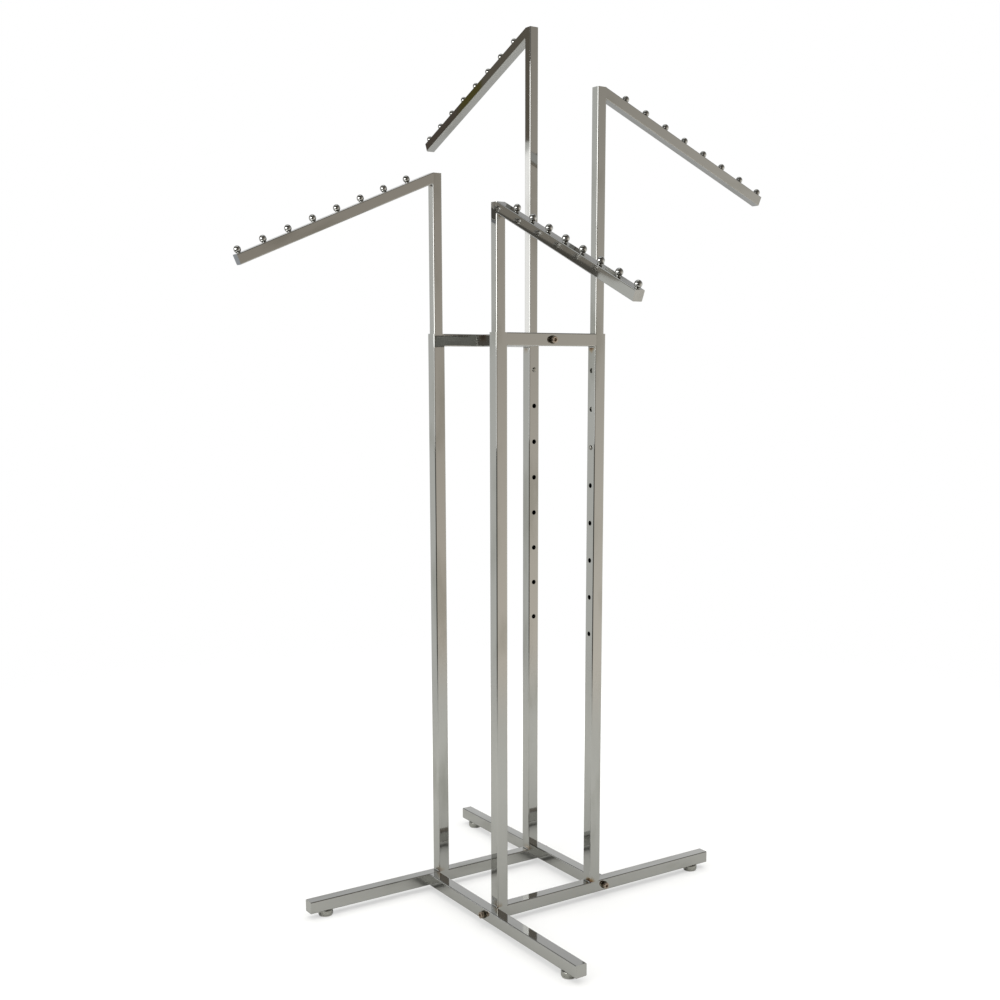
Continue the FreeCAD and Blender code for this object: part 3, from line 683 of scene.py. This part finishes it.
class RACK_OT_stage(bpy.types.Operator):
    """Set up the pale floor, the soft lights, the cards and the camera"""

    bl_idname = "rack.stage"
    bl_label = "Studio"

    def execute(self, context):
        studio = context.scene.rack_studio
        self.make_floor(studio)
        self.make_world(context.scene)
        top = make_light("top_light", (0.45, 0.3, 3.4), (0.2, 0.1, 0), 6.5, 6.5, studio.top_power)
        top.visible_glossy = False
        make_light("softbox", (0.25, -2.6, 1.74), (0, 0, 1.74), 2.4, 1.13, studio.softbox_power)
        make_light("softbox_skirt", (0.25, -2.6, 0.98), (0, 0, 0.98), 2.4, 0.38, studio.skirt_power)
        self.make_cards()
        self.make_camera(context.scene, studio)
        context.scene.view_settings.view_transform = "Standard"
        return {"FINISHED"}

    def make_floor(self, studio):
        """A pale disc that fades out before its edge."""
        radius, fade_from, fade_to = 4.0, 1.1, 2.6
        mesh = bmesh.new()
        bmesh.ops.create_circle(mesh, cap_ends=True, segments=96, radius=radius)
        data = bpy.data.meshes.new("floor")
        mesh.to_mesh(data)
        mesh.free()
        floor = bpy.data.objects.new("floor", data)
        bpy.context.scene.collection.objects.link(floor)
        material, tree = new_material("painted_floor")
        place = add(tree, "ShaderNodeTexCoord", out="Object")
        seen = add(tree, "ShaderNodeLightPath", out="Is Camera Ray")
        colour = add(tree, "ShaderNodeMix", {
            0: seen, 6: linear(studio.floor_reflected_hex), 7: linear(studio.floor_hex),
        }, out=2, data_type="RGBA")
        reach = add(tree, "ShaderNodeVectorMath", {0: place}, out="Value", operation="LENGTH")
        # the floor glows a little more away from the rack, where less light falls on it
        lift = add(tree, "ShaderNodeMapRange", {
            "Value": reach, "From Min": 0.4, "From Max": 1.2, "To Min": studio.floor_lift,
            "To Max": studio.floor_lift + 0.25,
        })
        lift = add(tree, "ShaderNodeMath", {0: seen, 1: lift}, operation="MULTIPLY")
        alpha = add(tree, "ShaderNodeMapRange", {
            "Value": reach, "From Min": fade_from, "From Max": fade_to, "To Min": 1.0, "To Max": 0.0,
        }, interpolation_type="SMOOTHSTEP")
        # the rack shades the floor between and beside its bars
        shade = add(tree, "ShaderNodeMapRange", {
            "Value": reach, "From Min": 0.15, "From Max": 0.9, "To Min": studio.floor_shade, "To Max": 1.0,
        })
        shade = add(tree, "ShaderNodeMath", {0: shade, 1: seen}, operation="MAXIMUM")
        colour = add(tree, "ShaderNodeMix", {
            0: 1.0, 6: colour, 7: shade,
        }, out=2, data_type="RGBA", blend_type="MULTIPLY")
        surface(tree, {
            "Base Color": colour, "Roughness": 0.9, "Specular IOR Level": 0.1, "Alpha": alpha,
            "Emission Color": (1, 1, 1, 1), "Emission Strength": lift,
        })
        data.materials.append(material)

    def make_world(self, scene):
        """White to the camera; to everything else a room with a bright backdrop and a dim ceiling."""
        world = bpy.data.worlds.new("studio")
        scene.world = world
        world.use_nodes = True
        tree = world.node_tree
        tree.nodes.clear()
        way = add(tree, "ShaderNodeTexCoord", out="Generated")
        x = add(tree, "ShaderNodeSeparateXYZ", {"Vector": way}, out="X")
        y = add(tree, "ShaderNodeSeparateXYZ", {"Vector": way}, out="Y")
        z = add(tree, "ShaderNodeSeparateXYZ", {"Vector": way}, out="Z")
        heading = add(tree, "ShaderNodeMath", {0: y, 1: x}, operation="ARCTAN2")
        share = add(tree, "ShaderNodeMapRange", {"Value": heading, "From Min": -pi, "From Max": pi})
        walls = add(tree, "ShaderNodeValToRGB", {"Fac": share})
        ramp = walls.node.color_ramp
        headings = (
            (-180, "#D6D8D9"), (-163, "#A9AEB6"), (-153, "#DADBD8"), (-132, "#DCDDD9"), (-105, "#74746F"),
            (-55, "#82827E"),
            (-10, "#8E8880"), (22, "#BDB5AA"), (30, "#CFC7BC"), (37, "#DAD4CA"), (46, "#F4F0E8"), (90, "#F0F0ED"),
            (135, "#FFFFFF"), (180, "#D6D8D9"),
        )
        while len(ramp.elements) < len(headings):
            ramp.elements.new(0.5)
        for element, (degrees, hex_text) in zip(ramp.elements, headings):
            element.position = (degrees + 180) / 360
        for element, (degrees, hex_text) in zip(ramp.elements, headings):
            element.color = linear(hex_text)
        backdrop_dim = add(tree, "ShaderNodeMapRange", {
            "Value": z, "From Min": 0.12, "From Max": 0.75, "To Min": 1.0, "To Max": 0.24,
        }, interpolation_type="SMOOTHSTEP")
        wall_dim = add(tree, "ShaderNodeMapRange", {
            "Value": z, "From Min": -0.26, "From Max": 0.3, "To Min": 1.26, "To Max": 0.5,
        })
        ceiling_dim = add(tree, "ShaderNodeMapRange", {
            "Value": z, "From Min": 0.3, "From Max": 0.7, "To Min": 1.0, "To Max": 0.45,
        })
        wall_dim = add(tree, "ShaderNodeMath", {0: wall_dim, 1: ceiling_dim}, operation="MULTIPLY")
        side = add(tree, "ShaderNodeVectorMath", {0: way, 1: (0.82, 0.57, 0)}, out="Value", operation="DOT_PRODUCT")
        side = add(tree, "ShaderNodeMapRange", {
            "Value": side, "From Min": 0.1, "From Max": 0.5,
        }, interpolation_type="SMOOTHSTEP")
        dim = add(tree, "ShaderNodeMix", {0: side, 2: backdrop_dim, 3: wall_dim})
        under_dim = add(tree, "ShaderNodeMapRange", {
            "Value": z, "From Min": -0.6, "From Max": -0.25, "To Min": 0.6, "To Max": 1.0,
        })
        dim = add(tree, "ShaderNodeMath", {0: dim, 1: under_dim}, operation="MULTIPLY")
        # behind the camera the floor runs out into the dark
        near = add(tree, "ShaderNodeVectorMath", {0: way, 1: (0.57, -0.82, 0)}, out="Value", operation="DOT_PRODUCT")
        near = add(tree, "ShaderNodeMapRange", {
            "Value": near, "From Min": 0.4, "From Max": 0.8,
        }, interpolation_type="SMOOTHSTEP")
        low = add(tree, "ShaderNodeMapRange", {
            "Value": z, "From Min": -0.12, "From Max": 0.02, "To Min": -0.75, "To Max": 0.0,
        })
        dark = add(tree, "ShaderNodeMath", {0: near, 1: low, 2: 1.0}, operation="MULTIPLY_ADD")
        dim = add(tree, "ShaderNodeMath", {0: dim, 1: dark}, operation="MULTIPLY")
        overhead = add(tree, "ShaderNodeVectorMath", {
            0: way, 1: (-0.14, -0.19, 0.97),
        }, out="Value", operation="DOT_PRODUCT")
        overhead = add(tree, "ShaderNodeMapRange", {
            "Value": overhead, "From Min": 0.86, "From Max": 0.93, "To Max": 1.3,
        }, interpolation_type="SMOOTHSTEP")
        dim = add(tree, "ShaderNodeMath", {0: dim, 1: overhead}, operation="ADD")
        room = add(tree, "ShaderNodeBackground", {"Color": walls, "Strength": dim})
        white = add(tree, "ShaderNodeBackground", {"Color": (1, 1, 1, 1), "Strength": 1.0})
        seen = add(tree, "ShaderNodeLightPath", out="Is Camera Ray")
        both = add(tree, "ShaderNodeMixShader", {0: seen, 1: room, 2: white})
        add(tree, "ShaderNodeOutputWorld", {"Surface": both})

    def make_cards(self):
        """Black flags and a white strip, each seen by some of the tubes only."""
        away = Vector((-0.827, -0.562, 0))
        aside = Vector((0.562, -0.827, 0))

        def at(reach, lateral, height):
            return away * reach + aside * lateral + UP * height

        make_card("flag_for_front_arm", (
            at(1.5, 0.12, 1.53), at(1.5, 0.49, 1.36), at(1.5, 0.75, 1.36), at(1.5, 0.75, 2.2), at(1.5, 0.12, 2.2),
        ), "#928D84", 1.0)
        make_card("flag_for_back_stem", (
            at(1.5, -0.30, 1.765), at(1.5, -0.10, 1.81), at(1.5, -0.10, 2.6), at(1.5, -0.30, 2.6),
        ), "#6E685E", 1.0)
        make_card("olive_flag_for_back_arm", (
            at(1.5, -0.37, 1.745), at(1.5, -0.30, 1.765), at(1.5, -0.30, 2.6), at(1.5, -0.37, 2.6),
        ), "#5C5630", 1.0)
        make_card("brown_flag_for_back_arm", (
            at(1.5, -0.70, 1.66), at(1.5, -0.37, 1.745), at(1.5, -0.37, 2.6), at(1.5, -0.70, 2.6),
        ), "#5C544C", 1.0)
        make_card("strip_for_back_stem", (
            at(4.0, -0.21, 1.25), at(4.0, -0.12, 1.25), at(4.0, -0.12, 2.18), at(4.0, -0.21, 2.10),
        ), "#FFFFFF", 1.5)
        make_card("spot_for_bars", (
            at(6.0, -0.30, 2.55), at(6.0, -0.05, 2.55), at(6.0, -0.05, 3.10), at(6.0, -0.30, 3.10),
        ), "#F4F8FF", 3.2)

    def make_camera(self, scene, studio):
        data = bpy.data.cameras.new("camera")
        data.sensor_width = 36.0
        data.lens = studio.lens
        data.shift_x, data.shift_y = studio.camera_shift
        camera = bpy.data.objects.new("camera", data)
        turn = Matrix.Rotation(studio.camera_turn, 4, "Z")
        dip = Matrix.Rotation(pi / 2 - studio.camera_dip, 4, "X")
        roll = Matrix.Rotation(studio.camera_roll, 4, "Z")
        camera.matrix_world = Matrix.Translation(studio.camera_place) @ turn @ dip @ roll
        scene.collection.objects.link(camera)
        scene.camera = camera


# ---- the panel, and running it all ----

STEPS = (
    RACK_OT_finish_frame,
    RACK_OT_finish_arms,
    RACK_OT_finish_hardware,
    RACK_OT_frame_welds,
    RACK_OT_arm_welds,
    RACK_OT_cap_screws,
    RACK_OT_stage,
)


class RACK_PT_looks(bpy.types.Panel):
    """The rack's settings and the steps that make its looks"""

    bl_idname = "RACK_PT_looks"
    bl_label = "Clothing Rack"
    bl_space_type = "VIEW_3D"
    bl_region_type = "UI"
    bl_category = "Rack"

    def draw(self, context):
        for group in (context.scene.rack_finish, context.scene.rack_pieces, context.scene.rack_studio):
            box = self.layout.box()
            for name in group.bl_rna.properties.keys():
                if name not in ("rna_type", "name"):
                    box.prop(group, name)
        for step in STEPS:
            self.layout.operator(step.bl_idname)


CLASSES = (RackFinishSettings, RackPieceSettings, RackStudioSettings, *STEPS, RACK_PT_looks)


def register():
    for each in CLASSES:
        bpy.utils.register_class(each)
    bpy.types.Scene.rack_finish = bpy.props.PointerProperty(type=RackFinishSettings)
    bpy.types.Scene.rack_pieces = bpy.props.PointerProperty(type=RackPieceSettings)
    bpy.types.Scene.rack_studio = bpy.props.PointerProperty(type=RackStudioSettings)


def unregister():
    del bpy.types.Scene.rack_finish
    del bpy.types.Scene.rack_pieces
    del bpy.types.Scene.rack_studio
    for each in reversed(CLASSES):
        bpy.utils.unregister_class(each)


def main():
    register()
    for step in STEPS:
        group, name = step.bl_idname.split(".")
        getattr(getattr(bpy.ops, group), name)()


if __name__ == "__main__":
    main()
